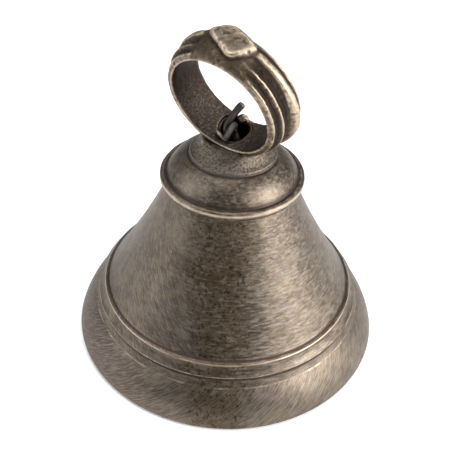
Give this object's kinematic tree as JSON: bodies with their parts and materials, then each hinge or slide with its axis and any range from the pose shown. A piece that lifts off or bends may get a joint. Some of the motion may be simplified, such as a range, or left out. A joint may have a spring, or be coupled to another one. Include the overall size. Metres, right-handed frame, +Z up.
{
  "type": "hand bell",
  "caption": "Small brass hand bell for worship, with a cast finger-ring handle, turned ridges and a free-swinging clapper hung on iron wire.",
  "frame": {"origin": "centre of the rim's resting plane", "axes": "+Z up along the bell's axis; the ring handle's opening faces between -X and -Y"},
  "size_m": [0.075, 0.075, 0.0813],
  "materials": {
    "turned_brass": "brushed, aged",
    "cast_brass": "rough cast, worn bright on its ridges",
    "seam_metal": "dull, grimy",
    "bright_brass": "worn bright",
    "iron": "dark oxide"
  },
  "bodies": {
    "bell": {"bell_body": "turned_brass", "ring_handle": "cast_brass", "solder_seam": "seam_metal", "eyelet_rivet": "bright_brass", "wire_staple": "iron"},
    "link": {"clapper_link": "iron"},
    "clapper": {"clapper_rod": "iron", "clapper_ball": "bright_brass"}
  },
  "joints": [
    {"name": "link_swing", "type": "hinge", "parent": "bell", "child": "link", "pos_m": [0, 0, 0.0433], "axis": [0.9848, 0.1736, 0], "range_deg": [-33, 33]},
    {"name": "clapper_swing", "type": "hinge", "parent": "link", "child": "clapper", "pos_m": [0, 0, 0.03927], "axis": [-0.1736, 0.9848, 0], "range_deg": [-10, 10]}
  ]
}
